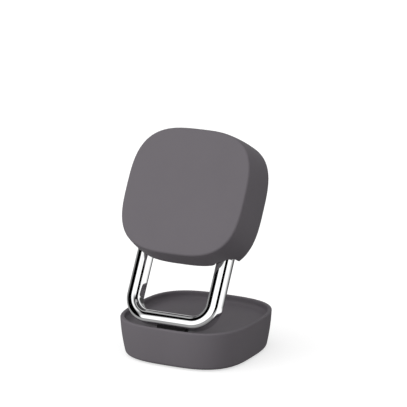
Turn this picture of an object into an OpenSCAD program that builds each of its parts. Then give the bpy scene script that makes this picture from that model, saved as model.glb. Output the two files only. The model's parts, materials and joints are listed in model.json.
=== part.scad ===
// A folding wireless charging station for a phone and an earbuds case.
// A square pad with soft corners stands on a chromed hoop, and the hoop hinges in a dished base.
// The pad slides down the hoop, and the hoop folds back until the pad lies over the base.
// Units are millimetres. The origin is the centre of the base's underside, with +Z up.
// The front of the station, where the phone's screen faces, looks along -Y.

/* [Base] */
// Width of the base across its rim
base_w = 68; // [60:1:90]
// Depth of the base from front to rear
base_d = 68; // [60:1:90]
// Height of the base from the table to the rim
base_h = 19.9; // [18:0.1:26]
// How square the outlines are, where 2 is an ellipse
squareness = 3.1; // [2.6:0.1:5]
// How far the base's wall leans in at the bottom, as a straight taper
base_taper = 0.7; // [0:0.1:3]
// How far the base's wall curves in at the bottom, on top of the taper
base_belly = 1.85; // [0:0.05:3]
// Radius of the base's bottom edge
base_edge_r = 1.8; // [0.5:0.1:3]
// Thickness of the base's outer wall
base_wall = 2; // [1.5:0.1:3]
// Width of the rim round the dish
rim_w = 2; // [1.6:0.1:3]
// Radius of the rounding on each side of the rim
rim_r = 0.8; // [0.2:0.1:0.8]
// Depth of the dish below the rim
dish_depth = 3.7; // [3:0.1:4]
// Radius of the cove between the dish's wall and its floor
dish_cove_r = 1.8; // [0.5:0.1:2.2]
// Thickness of the dish's floor
dish_floor = 1.3; // [1.2:0.1:2.5]
// Height of the shell's bottom edge above the table
shell_lift = 0.5; // [0.3:0.1:1]
// Thickness of the foot pad
foot_t = 1; // [1:0.1:2]
// How far the foot pad stays inside the shell's bottom edge
foot_inset = 4; // [3:0.5:8]
// Thickness of the bottom plate
plate_t = 1.2; // [1:0.1:2]
// Thickness of the steel ballast
ballast_t = 3; // [1:0.5:4]

/* [Hinge in the base] */
// Distance of the hinge axis behind the base's front edge
hinge_setback = 8.6; // [8:0.1:14]
// Height of the hinge axis above the dish's floor
hinge_rise = 5.5; // [5:0.1:8]
// Lean of the hoop and the pad from upright, as it stands in use
lean = 29.3; // [15:0.1:40]
// Radius of the hinge pin
hinge_pin_r = 1.25; // [1:0.05:1.4]
// Length of the hinge pin
hinge_pin_l = 26; // [22:1:30]
// Radius of the knuckle on the base's bracket
knuckle_r = 3; // [2.6:0.1:3.1]
// Length of the knuckle
knuckle_l = 16; // [10:1:16]
// Thickness of the neck that carries the knuckle
neck_t = 3; // [2:0.1:3]
// Thickness of one friction washer
washer_t = 0.5; // [0.3:0.1:0.8]

/* [Hoop] */
// Width of the hoop outside its arms
hoop_w = 50.1; // [44:0.1:51]
// Length of the hoop from the centre of one bar to the other
hoop_l = 52.4; // [48:0.1:53]
// Thickness of the hoop's bar, seen from the front
bar_t = 6.65; // [6.2:0.05:7]
// Depth of the hoop's bar from front to rear
bar_d = 9.3; // [8.8:0.1:10.4]
// Radius of the rounding along the bar's four edges
bar_edge_r = 2.2; // [1.6:0.1:3]
// Distance of the hinge axis behind the middle of the bar
hinge_offset = 2.2; // [1.8:0.1:2.6]
// Radius of the hoop's corners at the middle of the bar
hoop_corner_r = 10; // [6:0.5:14]
// Length of one glide pad on the hoop's arm
glide_l = 5; // [4:0.5:6]

/* [Pad] */
// Width of the pad at its rear rim
pad_w = 67.4; // [64:0.2:80]
// Height of the pad at its rear rim
pad_h = 66.6; // [64:0.2:80]
// Thickness of the pad
pad_t = 21.2; // [20.8:0.1:24]
// How far the pad's wall curves in towards its face
pad_belly = 1.55; // [0:0.05:3]
// Radius of the edge round the pad's face
pad_edge_r = 0.9; // [0.3:0.1:1.5]
// Thickness of the pad's side wall
pad_wall = 1.8; // [1.5:0.1:2]
// Thickness of the pad's face
pad_face = 1.6; // [1.2:0.1:2]
// Distance from the hinge axis up the hoop to the centre of the pad, raised as it stands in use
pad_raise = 60.95; // [59:0.05:62]
// How far the pad slides down the hoop
slide_travel = 21.5; // [10:0.5:21.5]
// Distance from the pad's face to the middle of the hoop's bar
face_to_hoop = 16.7; // [16.5:0.1:17]
// Depth of the pad's bottom wall below the face, between the arms
mouth_depth = 14; // [12:0.1:16]
// Thickness of the back cover
cover_t = 1.2; // [1:0.1:1.6]
// How far the back cover sits below the rear rim
cover_sink = 0.6; // [0.3:0.1:1.5]
// Thickness of the plate that keeps the hoop in its channel
keeper_t = 1.2; // [0.8:0.1:1.4]

/* [Coils and magnets] */
// Outer radius of the ring of magnets
magnet_r = 27.8; // [26:0.1:28]
// Width of the ring of magnets
magnet_w = 4.6; // [3:0.1:5]
// Thickness of the magnets
magnet_t = 1.5; // [1:0.1:2]
// Number of magnets in the ring
magnet_count = 16; // [8:1:18]
// Outer radius of the phone's charging coil
coil_r = 21.2; // [15:0.1:22]
// Radius of the coil's wire
coil_wire_r = 0.62; // [0.5:0.01:0.7]
// Number of turns in the phone's coil
coil_turns = 9; // [5:1:10]
// Outer radius of the earbud coil
bud_coil_r = 14; // [10:0.5:16]
// Number of turns in the earbud coil
bud_coil_turns = 6; // [4:1:7]
// Distance of the earbud coil behind the base's centre
bud_coil_back = 7; // [0:0.5:9]

/* [Circuit boards and socket] */
// Thickness of the circuit boards
board_t = 1.2; // [0.8:0.1:1.6]
// Width of the base's board
base_board_w = 34; // [30:1:38]
// Width of the socket's mouth
socket_w = 8.94; // [8:0.01:10]
// Height of the socket's shell
socket_h = 3.26; // [3:0.01:4]
// Length of the socket's shell
socket_l = 7.4; // [6:0.1:10]
// Thickness of the socket's sheet metal
socket_sheet = 0.3; // [0.2:0.05:0.4]

/* [Screws] */
// Radius of the screws' shanks
screw_r = 0.8; // [0.7:0.05:1]
// Radius of the screws' heads
screw_head_r = 1.5; // [1.3:0.1:1.8]
// Height of the screws' heads
screw_head_h = 0.8; // [0.6:0.1:0.9]
// Radius of the bosses that take the screws
boss_r = 2.2; // [1.8:0.1:2.6]

/* [Fit] */
// Gap between faces that move past each other
run_gap = 0.3; // [0.2:0.05:0.4]
// Gap of the hinge pin in the knuckle
pin_gap = 0.04; // [0.02:0.01:0.08]
// Gap round a piece that drops into its seat
seat_gap = 0.15; // [0.1:0.05:0.25]

/* [Hidden] */
$fn = 48;

// Points round each lofted ring
ring_points = 64;
// Steps in a rounded edge of a loft
edge_steps = 4;
// Steps up a curved wall of a loft
wall_steps = 5;
// Small overlap that makes a cut run clear of a face
cut = 1;

// Places in the base
floor_z = base_h - dish_depth;
ceiling_z = floor_z - dish_floor;
plate_z = foot_t;
plate_top_z = plate_z + plate_t;
hinge_y = hinge_setback - base_d / 2;
hinge_z = floor_z + hinge_rise;
dish_w = base_w / 2 - rim_w;
dish_d = base_d / 2 - rim_w;
base_screw_inset = 12;
board_post_h = 2;
post_inset = 3;
post_gap = 6;
post_x = base_board_w / 2 - post_inset;
post_y = base_d / 2 - base_screw_inset - post_gap;
board_z = plate_top_z + ballast_t + board_post_h;
base_screw_x = base_w / 2 - base_screw_inset;
base_screw_y = base_d / 2 - base_screw_inset;
seat_block_h = 3;
pilot_l = 3;
base_pilot_l = 6;
bracket_z = ceiling_z - seat_block_h;
bracket_t = 1.6;
bracket_w = 30;
bracket_d = 9;
bracket_screw_x = 12;
bracket_screw_y = hinge_y + bracket_d / 2 - neck_t;
socket_recess = 0.4;
socket_z = board_z + board_t + socket_h / 2;
bottom_r = min(base_edge_r, base_wall - 0.2);

// Places in the hoop's own frame: the hinge axis is its origin, +Y runs up the hoop, +Z to its front
arm_x = (hoop_w - bar_t) / 2;
arm_in_x = hoop_w / 2 - bar_t;
pocket_x = hoop_w / 2 + 1.55;
relief_r = knuckle_r + 0.5;
relief_l = knuckle_l + 2 * (washer_t + 2 * pin_gap);
glide_t = pocket_x - hoop_w / 2 - run_gap;
glide_d = 3;
glide_y = hoop_l - hoop_corner_r - glide_l;

// Places in the pad's own frame: the centre of its face is its origin, +Y runs up the pad,
// and the pad's body lies behind the face, on the side of -Z
bar_nose = face_to_hoop - bar_d / 2;
bar_back = face_to_hoop + bar_d / 2;
nose_gap = 0.4;
mouth_in_x = arm_in_x - nose_gap;
mouth_bevel_w = 1.4;
mouth_bevel_d = 1.7;
pocket_floor = bar_nose - nose_gap;
raised_bar_y = hoop_l - pad_raise;
travel_gap = 2.8;
travel = min(slide_travel, pad_raise - pad_h / 2 - bar_t / 2 - travel_gap);
pocket_top = raised_bar_y + travel + bar_t / 2 + 0.5;
pocket_corner_r = hoop_corner_r + bar_t / 2 + 0.4;
cover_back = pad_t - cover_sink;
inner_w = pad_w / 2 - pad_wall;
inner_h = pad_h / 2 - pad_wall;
mouth_reach = 12;
mouth_top = -(inner_h - mouth_reach);
block_x = arm_in_x - run_gap;
block_top = raised_bar_y - bar_t / 2 - run_gap;
block_bottom = -(inner_h - 0.8);
keeper_front = bar_back + run_gap;
keeper_x = arm_x + bar_t / 2 - 1;
keeper_bottom = block_bottom + 4;
pedestal_x = block_x - 1;
keeper_screw_x = 9;
keeper_pilot_l = 3.5;
block_pilot_l = 3;
keeper_y = (keeper_bottom + block_top) / 2;
block_corner_r = hoop_corner_r - bar_t / 2 - run_gap;
brake_slot_y = (block_bottom + block_top) / 2 - 0.4;
brake_slot_h = 6;
brake_slot_t = 1.8;
brake_mid = face_to_hoop;
shoe_l = 7;
shoe_in_x = block_x - shoe_l;
spring_rise = 3.4;
spring_t = 0.4;
carrier_back = pad_face + 3.4;
carrier_rim = 1.4;
ring_r = min(magnet_r, min(pad_w, pad_h) / 2 - pad_wall - pad_belly - carrier_rim - run_gap);
carrier_r = ring_r + carrier_rim;
coil_seat_r = ring_r - magnet_w - 1;
wound_r = min(coil_r, coil_seat_r - run_gap);
pad_board_front = carrier_back + 1;
pad_board_w = 42;
pad_board_h = 26;
pad_board_y = 4;
pad_post_r = 1.5;
pad_screw_x = inner_w - 8;
pad_screw_y = inner_h - 8;
block_screw_x = 12;
block_screw_y = block_bottom + 2.2;

// Half of a soft square's outline at angle a, for half sizes w and d
function soft_square_at(w, d, a) =
    pow(pow(abs(cos(a)) / w, squareness) + pow(abs(sin(a)) / d, squareness), -1 / squareness);

// Outline points of a soft square with half sizes w and d
function soft_square(w, d) = [
    for (i = [0:ring_points - 1])
        let (a = 360 * i / ring_points, r = soft_square_at(w, d, a))
            [r * cos(a), r * sin(a)]
];

// One ring of a loft, where rim is [half width, half depth, height]
function ring(rim) = [for (p = soft_square(rim[0], rim[1])) [p[0], p[1], rim[2]]];

// Faces between the rings of a loft, and its two end caps
function loft_faces(rings) = concat(
    [[for (i = [0:ring_points - 1]) i]],
    [[for (i = [ring_points - 1:-1:0]) (rings - 1) * ring_points + i]],
    [
        for (k = [0:rings - 2], i = [0:ring_points - 1], half = [0, 1])
            let (
                j = (i + 1) % ring_points,
                low = k * ring_points,
                high = low + ring_points
            )
                half == 0 ? [low + i, high + i, high + j] : [low + i, high + j, low + j]
    ]
);

// A solid through a list of [half width, half depth, height]
module loft(rims) {
    polyhedron(
        points = [for (rim = rims) each ring(rim)],
        faces = loft_faces(len(rims)),
        convexity = 6
    );
}

// A flat sheet with a soft square outline, from height z up by t
module soft_sheet(w, d, z, t) {
    translate([0, 0, z])
        linear_extrude(t)
            polygon(soft_square(w, d));
}

// Half sizes of the base's wall at height z, moved in by inset
function base_in(z) =
    let (u = 1 - z / base_h) base_taper * u + base_belly * u * u;
function base_rim(z, inset) = [base_w / 2 - base_in(z) - inset, base_d / 2 - base_in(z) - inset, z];

// Half sizes of the pad's wall at depth s behind the face, moved in by inset
function pad_in(s) = let (u = 1 - s / pad_t) pad_belly * u * u;
function pad_rim(s, inset) = [pad_w / 2 - pad_in(s) - inset, pad_h / 2 - pad_in(s) - inset, -s];

// A quarter round of radius r from angle a0 to a1, as [inset, height] about a centre
function quarter(inset, z, r, a0, a1) = [
    for (i = [0:edge_steps])
        let (a = a0 + (a1 - a0) * i / edge_steps)
            [inset - r * cos(a), z + r * sin(a)]
];

module in_hoop_frame() {
    translate([0, hinge_y, hinge_z])
        rotate([90 - lean, 0, 0])
            children();
}

module in_pad_frame() {
    in_hoop_frame()
        translate([0, pad_raise, hinge_offset + face_to_hoop])
            children();
}

// A pan-head screw standing on z = 0 with its head above and its shank below
module screw(shank) {
    rotate_extrude()
        polygon([
            [0, -shank], [screw_r * 0.6, -shank], [screw_r, -shank + screw_r],
            [screw_r, 0], [screw_head_r, 0], [screw_head_r, screw_head_h * 0.5],
            [screw_head_r * 0.7, screw_head_h], [screw_r * 0.5, screw_head_h],
            [screw_r * 0.5, screw_head_h * 0.5], [0, screw_head_h * 0.5]
        ]);
}

module both_sides(x) {
    for (side = [-1, 1])
        translate([side * x, 0, 0])
            children();
}

module four_corners(x, y) {
    for (side = [-1, 1], end = [-1, 1])
        translate([side * x, end * y, 0])
            children();
}

// Flat coil of round wire with its face on z = 0 and its body below
module flat_coil(outer_r, wire_r, turns) {
    pitch = wire_r * 1.8;
    rotate_extrude()
        for (i = [0:turns - 1])
            translate([outer_r - wire_r - i * pitch, -wire_r])
                circle(r = wire_r, $fn = 16);
}

module base_shell() {
    color("#605a61")
        difference() {
            union() {
                loft(concat(
                    [base_rim(ceiling_z, base_wall)],
                    [base_rim(shell_lift, base_wall)],
                    [
                        for (p = quarter(bottom_r, shell_lift + bottom_r, bottom_r, -90, 0))
                            base_rim(p[1], p[0])
                    ],
                    [
                        for (i = [1:wall_steps - 1])
                            let (
                                z0 = shell_lift + bottom_r,
                                z = z0 + (base_h - rim_r - z0) * i / wall_steps
                            )
                                base_rim(z, 0)
                    ],
                    [
                        for (p = quarter(rim_r, base_h - rim_r, rim_r, 0, 90))
                            base_rim(p[1], p[0])
                    ],
                    [
                        for (p = quarter(rim_r, base_h - rim_r, rim_r, 90, 0))
                            [dish_w + p[0], dish_d + p[0], p[1]]
                    ],
                    [
                        for (p = quarter(dish_cove_r, floor_z + dish_cove_r, dish_cove_r, 0, -90))
                            [dish_w - p[0], dish_d - p[0], p[1]]
                    ]
                ));
                base_shell_bosses();
            }
            four_corners(base_screw_x, base_screw_y)
                translate([0, 0, plate_top_z - cut])
                    cylinder(r = screw_r, h = base_pilot_l + cut);
            hinge_slot();
            socket_opening();
        }
}

// Bosses for the bottom screws, and the thick seat that the hinge bracket is screwed to
module base_shell_bosses() {
    four_corners(base_screw_x, base_screw_y)
        translate([0, 0, plate_top_z])
            cylinder(r = boss_r, h = ceiling_z + dish_floor / 2 - plate_top_z);
    translate([-bracket_w / 2, hinge_y - neck_t, bracket_z])
        cube([bracket_w, bracket_d, seat_block_h + dish_floor / 2]);
}

// Slot in the dish's floor for the bracket's neck, and pilot holes for its screws
module hinge_slot() {
    slot_w = knuckle_l + 2 * seat_gap;
    slot_d = neck_t + 2 * seat_gap;
    translate([-slot_w / 2, hinge_y - slot_d / 2, bracket_z - cut])
        cube([slot_w, slot_d, floor_z + 2 * cut - bracket_z]);
    both_sides(bracket_screw_x)
        translate([0, bracket_screw_y, bracket_z - cut])
            cylinder(r = screw_r, h = pilot_l + cut);
}

// Round-ended outline of the socket, centred on its middle
module socket_outline(grow) {
    r = socket_h / 2 + grow;
    for (side = [-1, 1])
        translate([side * (socket_w - socket_h) / 2, 0])
            circle(r = r);
    square([socket_w - socket_h, 2 * r], center = true);
}

module at_socket() {
    translate([0, base_rim(socket_z, 0)[1] - socket_recess, socket_z])
        rotate([90, 0, 0])
            children();
}

module socket_opening() {
    at_socket()
        translate([0, 0, -3])
            linear_extrude(base_wall + 6)
                socket_outline(seat_gap);
}

module base_bottom_plate() {
    w = base_rim(shell_lift, base_wall + seat_gap);
    color("#3a373b")
        difference() {
            union() {
                soft_sheet(w[0], w[1], plate_z, plate_t);
                four_corners(post_x, post_y)
                    translate([0, 0, plate_top_z])
                        cylinder(r = boss_r, h = board_z - plate_top_z);
            }
            four_corners(base_screw_x, base_screw_y)
                translate([0, 0, plate_z - cut])
                    cylinder(r = screw_r + seat_gap, h = plate_t + 2 * cut);
        }
}

module foot_pad() {
    w = base_rim(shell_lift, foot_inset);
    color("#2b2a2c")
        difference() {
            soft_sheet(w[0], w[1], 0, foot_t);
            four_corners(base_screw_x, base_screw_y)
                translate([0, 0, -cut])
                    cylinder(r = screw_head_r + seat_gap, h = foot_t + 2 * cut);
        }
}

module ballast_plate() {
    w = base_rim(shell_lift, base_wall + 3);
    color("#8d8f92")
        difference() {
            soft_sheet(w[0], w[1], plate_top_z, ballast_t);
            four_corners(base_screw_x, base_screw_y)
                translate([0, 0, plate_top_z - cut])
                    cylinder(r = boss_r + run_gap, h = ballast_t + 2 * cut);
            four_corners(post_x, post_y)
                translate([0, 0, plate_top_z - cut])
                    cylinder(r = boss_r + run_gap, h = ballast_t + 2 * cut);
        }
}

module base_circuit_board() {
    wall = base_rim(board_z, base_wall + run_gap);
    back_y = wall[1];
    front_y = -post_y - boss_r;
    color("#1f5a3c")
        translate([0, 0, board_z]) {
            intersection() {
                translate([-base_board_w / 2, front_y, 0])
                    cube([base_board_w, back_y - front_y, board_t]);
                soft_sheet(wall[0], wall[1], 0, board_t);
            }
            // Controller, inductor and capacitors
            translate([-4, -8, board_t])
                cube([7, 7, 0.9]);
            translate([7, -8, board_t])
                cylinder(r = 3.2, h = 3);
            for (i = [0:3])
                translate([-13, -12 + 5 * i, board_t])
                    cube([2.4, 3.4, 1.4]);
        }
}

module usb_c_socket() {
    color("#b9bcc0")
        at_socket()
            difference() {
                linear_extrude(socket_l)
                    socket_outline(0);
                translate([0, 0, -cut])
                    linear_extrude(socket_l + cut - socket_sheet)
                        socket_outline(-socket_sheet);
            }
}

module usb_c_tongue() {
    tongue_w = socket_w - socket_h + 0.9;
    color("#26272a")
        at_socket()
            translate([0, 0, 0.7]) {
                translate([-tongue_w / 2, -0.35, 0])
                    cube([tongue_w, 0.7, socket_l - socket_sheet - 0.7]);
                translate([-tongue_w / 2, -0.9, socket_l - socket_sheet - 2.2])
                    cube([tongue_w, 1.8, 1.5]);
            }
}

module earbud_coil() {
    color("#b5713a")
        translate([0, bud_coil_back, ceiling_z])
            flat_coil(bud_coil_r, coil_wire_r, bud_coil_turns);
}

module earbud_ferrite() {
    color("#3b3b3e")
        translate([0, bud_coil_back, ceiling_z - 2 * coil_wire_r - 0.7])
            cylinder(r = bud_coil_r + 0.6, h = 0.7);
}

// Cast bracket: the knuckle stands on a neck that comes up through the dish's floor
module hinge_bracket() {
    color("#9a9da1")
        difference() {
            union() {
                translate([0, hinge_y, hinge_z])
                    rotate([0, 90, 0])
                        cylinder(r = knuckle_r, h = knuckle_l, center = true);
                translate([-knuckle_l / 2, hinge_y - neck_t / 2, bracket_z - bracket_t])
                    cube([knuckle_l, neck_t, hinge_z - bracket_z + bracket_t]);
                translate([-bracket_w / 2, hinge_y - neck_t, bracket_z - bracket_t])
                    cube([bracket_w, bracket_d, bracket_t]);
            }
            translate([0, hinge_y, hinge_z])
                rotate([0, 90, 0])
                    cylinder(r = hinge_pin_r + pin_gap, h = knuckle_l + 2 * cut, center = true);
            both_sides(bracket_screw_x)
                translate([0, bracket_screw_y, bracket_z - bracket_t - cut])
                    cylinder(r = screw_r + seat_gap, h = bracket_t + 2 * cut);
        }
}

module bracket_screws() {
    color("#70737a")
        both_sides(bracket_screw_x)
            translate([0, bracket_screw_y, bracket_z - bracket_t])
                rotate([180, 0, 0])
                    screw(bracket_t + pilot_l - 0.4);
}

module base_screws() {
    color("#70737a")
        four_corners(base_screw_x, base_screw_y)
            translate([0, 0, plate_z])
                rotate([180, 0, 0])
                    screw(plate_t + base_pilot_l - 1);
}

// Washers that clamp the knuckle, and give the hinge its friction
module friction_washers() {
    color("#c9a55a")
        in_hoop_frame()
            both_sides(knuckle_l / 2 + pin_gap + washer_t / 2)
                rotate([0, 90, 0])
                    difference() {
                        cylinder(r = knuckle_r - 0.2, h = washer_t, center = true);
                        cylinder(r = hinge_pin_r + pin_gap, h = washer_t + 2 * cut, center = true);
                    }
}

// Cross-section of the hoop's bar: thickness along X, depth along Y, with its edges rounded
module bar_section(grow = 0) {
    r = bar_edge_r + grow;
    x = bar_t / 2 + grow;
    y = bar_d / 2 + grow;
    for (side = [-1, 1], end = [-1, 1])
        translate([side * (x - r), end * (y - r)])
            circle(r = r);
    square([2 * x, 2 * (y - r)], center = true);
    square([2 * (x - r), 2 * y], center = true);
}

module hoop_ring() {
    straight_y = hoop_l - 2 * hoop_corner_r;
    straight_x = 2 * (arm_x - hoop_corner_r);
    translate([0, hoop_l / 2, hinge_offset]) {
        both_sides(arm_x)
            rotate([90, 0, 0])
                linear_extrude(straight_y, center = true)
                    bar_section();
        for (end = [-1, 1])
            translate([0, end * hoop_l / 2, 0])
                rotate([90, 0, 90])
                    linear_extrude(straight_x, center = true)
                        bar_section();
        for (quadrant = [0:3])
            hoop_corner(quadrant);
    }
}

module hoop_corner(quadrant) {
    side = (quadrant == 0 || quadrant == 3) ? 1 : -1;
    end = quadrant < 2 ? 1 : -1;
    translate([side * (arm_x - hoop_corner_r), end * (hoop_l / 2 - hoop_corner_r), 0])
        rotate([0, 0, 90 * quadrant])
            rotate_extrude(angle = 90)
                translate([hoop_corner_r, 0])
                    bar_section();
}

module hoop() {
    color("#d5d6d8")
        in_hoop_frame()
            difference() {
                hoop_ring();
                rotate([0, 90, 0])
                    cylinder(r = relief_r, h = relief_l, center = true);
                rotate([0, 90, 0])
                    cylinder(r = hinge_pin_r + pin_gap / 2, h = hinge_pin_l + 0.4, center = true);
            }
}

module hinge_pin() {
    color("#8b8e93")
        in_hoop_frame()
            rotate([0, 90, 0])
                cylinder(r = hinge_pin_r, h = hinge_pin_l, center = true);
}

// Slippery pads on the hoop's arms that keep it centred in the pad's channel
module glide_pads() {
    color("#1d1d1f")
        in_hoop_frame()
            both_sides(hoop_w / 2 + glide_t / 2)
                translate([0, glide_y, hinge_offset])
                    rotate([0, 90, 0])
                        linear_extrude(glide_t, center = true)
                            glide_outline();
}

module glide_outline() {
    for (end = [glide_d / 2, glide_l - glide_d / 2])
        translate([0, end])
            circle(d = glide_d);
    translate([-glide_d / 2, glide_d / 2])
        square([glide_d, glide_l - glide_d]);
}

// Outline of the pad's mouth, across the bottom wall: X is across the pad, Y is depth behind the face
module mouth_outline() {
    flank_y = face_to_hoop - glide_d / 2;
    end_y = pad_t + 2 * cut;
    both_sides(arm_x)
        translate([0, face_to_hoop])
            bar_section(nose_gap);
    polygon([
        [-pocket_x, flank_y], [-arm_x - bar_t / 2 - nose_gap, bar_nose + bar_edge_r],
        [-arm_x, bar_nose + bar_edge_r], [-mouth_in_x, mouth_depth - mouth_bevel_d],
        [mouth_bevel_w - mouth_in_x, mouth_depth], [mouth_in_x - mouth_bevel_w, mouth_depth],
        [mouth_in_x, mouth_depth - mouth_bevel_d], [arm_x, bar_nose + bar_edge_r],
        [arm_x + bar_t / 2 + nose_gap, bar_nose + bar_edge_r],
        [pocket_x, flank_y], [pocket_x + 0.6, end_y], [-pocket_x - 0.6, end_y]
    ]);
}

module pad_front_shell() {
    color("#746f75")
        in_pad_frame()
            difference() {
                union() {
                    loft(concat(
                        [pad_rim(pad_face, pad_wall)],
                        [
                            for (i = [1:2])
                                pad_rim(pad_face + (pad_t - rim_r - pad_face) * i / 3, pad_wall)
                        ],
                        [
                            for (p = quarter(rim_r, -(pad_t - rim_r), rim_r, 0, -90))
                                pad_rim(-p[1], pad_wall - p[0])
                        ],
                        [
                            for (p = quarter(rim_r, -(pad_t - rim_r), rim_r, -90, 0))
                                pad_rim(-p[1], p[0])
                        ],
                        [
                            for (i = [1:wall_steps - 1])
                                let (s0 = pad_t - rim_r)
                                    pad_rim(s0 + (pad_edge_r - s0) * i / wall_steps, 0)
                        ],
                        [
                            for (p = quarter(pad_edge_r, -pad_edge_r, pad_edge_r, 0, 90))
                                pad_rim(-p[1], p[0])
                        ]
                    ));
                    pad_shell_bosses();
                }
                translate([0, mouth_top, 0])
                    rotate([90, 0, 0])
                        linear_extrude(pad_h)
                            mirror([0, 1])
                                mouth_outline();
                both_sides(pad_screw_x)
                    translate([0, pad_screw_y, -cover_back + cover_t - cut])
                        cylinder(r = screw_r, h = 5 + cut);
                both_sides(block_screw_x)
                    translate([0, block_screw_y, -pocket_floor + cover_t - cut])
                        cylinder(r = screw_r, h = 4 + cut);
            }
}

// Bosses that rise from the back of the face to the back cover
module pad_shell_bosses() {
    both_sides(pad_screw_x)
        translate([0, pad_screw_y, -cover_back + cover_t])
            cylinder(r = boss_r, h = cover_back - cover_t - pad_face / 2);
    both_sides(block_screw_x)
        translate([0, block_screw_y, -pocket_floor + cover_t])
            cylinder(r = boss_r, h = pocket_floor - cover_t - pad_face / 2);
}

// Outline of the channel that takes the hoop, open at the pad's bottom
module pocket_outline(grow) {
    x = pocket_x + grow;
    r = pocket_corner_r + grow;
    top = pocket_top + grow;
    both_sides(x - r)
        translate([0, top - r])
            circle(r = r);
    translate([-(x - r), -pad_h])
        square([2 * (x - r), top + pad_h]);
    translate([-x, -pad_h])
        square([2 * x, top - r + pad_h]);
}

// Back cover, with the channel for the hoop sunk into it
module pad_back_cover() {
    plate_in = seat_gap + pad_in(cover_back - cover_t);
    tub_in = seat_gap + pad_in(pocket_floor - cover_t);
    color("#5b565c")
        in_pad_frame()
            difference() {
                union() {
                    soft_sheet(inner_w - plate_in, inner_h - plate_in, -cover_back, cover_t);
                    intersection() {
                        translate([0, 0, -cover_back])
                            linear_extrude(cover_back - pocket_floor + cover_t)
                                pocket_outline(cover_t);
                        soft_sheet(inner_w - tub_in, inner_h - tub_in, -pad_t, pad_t);
                    }
                }
                translate([0, 0, -cover_back - cut])
                    linear_extrude(cover_back + cut - pocket_floor)
                        pocket_outline(0);
                both_sides(pad_screw_x)
                    translate([0, pad_screw_y, -cover_back - cut])
                        cylinder(r = screw_r + seat_gap, h = cover_t + 2 * cut);
                both_sides(block_screw_x)
                    translate([0, block_screw_y, -pocket_floor - cut])
                        cylinder(r = screw_r + seat_gap, h = cover_t + 2 * cut);
            }
}

// Block between the arms: it stops the hoop's upper bar, holds the brake and carries the keeper plate
module guide_block() {
    block_in = seat_gap + pad_in(pocket_floor);
    color("#4c484d")
        in_pad_frame()
            difference() {
                union() {
                    intersection() {
                        translate([0, 0, -mouth_depth])
                            linear_extrude(mouth_depth - pocket_floor)
                                block_outline(block_x, block_bottom);
                        soft_sheet(inner_w - block_in, inner_h - block_in, -pad_t, pad_t);
                    }
                    translate([0, 0, -keeper_front])
                        linear_extrude(keeper_front - mouth_depth)
                            block_outline(pedestal_x, keeper_bottom);
                }
                translate([0, brake_slot_y, -brake_mid])
                    cube([2 * block_x + 2 * cut, brake_slot_h, brake_slot_t], center = true);
                both_sides(block_screw_x)
                    translate([0, block_screw_y, -mouth_depth - cut])
                        cylinder(r = screw_r + seat_gap, h = mouth_depth + cut);
                both_sides(keeper_screw_x)
                    translate([0, keeper_y, -keeper_front - cut])
                        cylinder(r = screw_r, h = keeper_pilot_l + cut);
            }
}

// Outline of the guide block, rounded at the top to the inside of the hoop's corners
module block_outline(x, bottom) {
    r = min(block_corner_r, (block_top - bottom) / 2);
    both_sides(x - r)
        translate([0, block_top - r])
            circle(r = r);
    translate([-(x - r), bottom])
        square([2 * (x - r), block_top - bottom]);
    translate([-x, bottom])
        square([2 * x, block_top - r - bottom]);
}

// Plate behind the arms that keeps the hoop in its channel
module keeper_plate() {
    color("#5b565c")
        in_pad_frame()
            difference() {
                translate([0, 0, -keeper_front - keeper_t])
                    linear_extrude(keeper_t)
                        keeper_outline(3);
                both_sides(keeper_screw_x)
                    translate([0, keeper_y, -keeper_front - keeper_t - cut])
                        cylinder(r = screw_r + seat_gap, h = keeper_t + 2 * cut);
                both_sides(keeper_screw_x)
                    translate([0, keeper_y, -keeper_front - keeper_t - cut])
                        cylinder(r = screw_head_r + seat_gap, h = screw_head_h + cut);
            }
}

// Outline of the keeper plate, with corners of radius r
module keeper_outline(r) {
    for (side = [-1, 1], y = [keeper_bottom + r, block_top - r])
        translate([side * (keeper_x - r), y])
            circle(r = r);
    translate([-keeper_x + r, keeper_bottom])
        square([2 * (keeper_x - r), block_top - keeper_bottom]);
    translate([-keeper_x, keeper_bottom + r])
        square([2 * keeper_x, block_top - keeper_bottom - 2 * r]);
}

module keeper_screws() {
    color("#70737a")
        in_pad_frame()
            both_sides(keeper_screw_x)
                translate([0, keeper_y, -keeper_front - keeper_t + screw_head_h])
                    rotate([180, 0, 0])
                        screw(keeper_t - screw_head_h + keeper_pilot_l - 0.5);
}

// One brake shoe, pressed sideways on the inner flat of an arm
module brake_shoe(side) {
    color("#c8b48a")
        in_pad_frame()
            translate([side * (shoe_in_x + (shoe_l + run_gap * 0.6) / 2), brake_slot_y, -brake_mid])
                cube(
                    [shoe_l + run_gap * 0.6, brake_slot_h - 0.2, brake_slot_t - 0.2],
                    center = true
                );
}
module brake_shoe_left() { brake_shoe(-1); }
module brake_shoe_right() { brake_shoe(1); }

// Bowed leaf spring that pushes the two shoes apart
module brake_spring() {
    half = shoe_in_x - 0.1;
    rise = spring_rise;
    r = (half * half + rise * rise) / (2 * rise);
    sweep = 2 * asin(half / r);
    color("#9ea2a7")
        in_pad_frame()
            translate([0, brake_slot_y + rise / 2 - r, -brake_mid - (brake_slot_t - 0.4) / 2])
                rotate([0, 0, 90 - sweep / 2])
                    rotate_extrude(angle = sweep, $fn = 96)
                        translate([r - spring_t / 2, 0])
                            square([spring_t, brake_slot_t - 0.4]);
}

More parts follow.
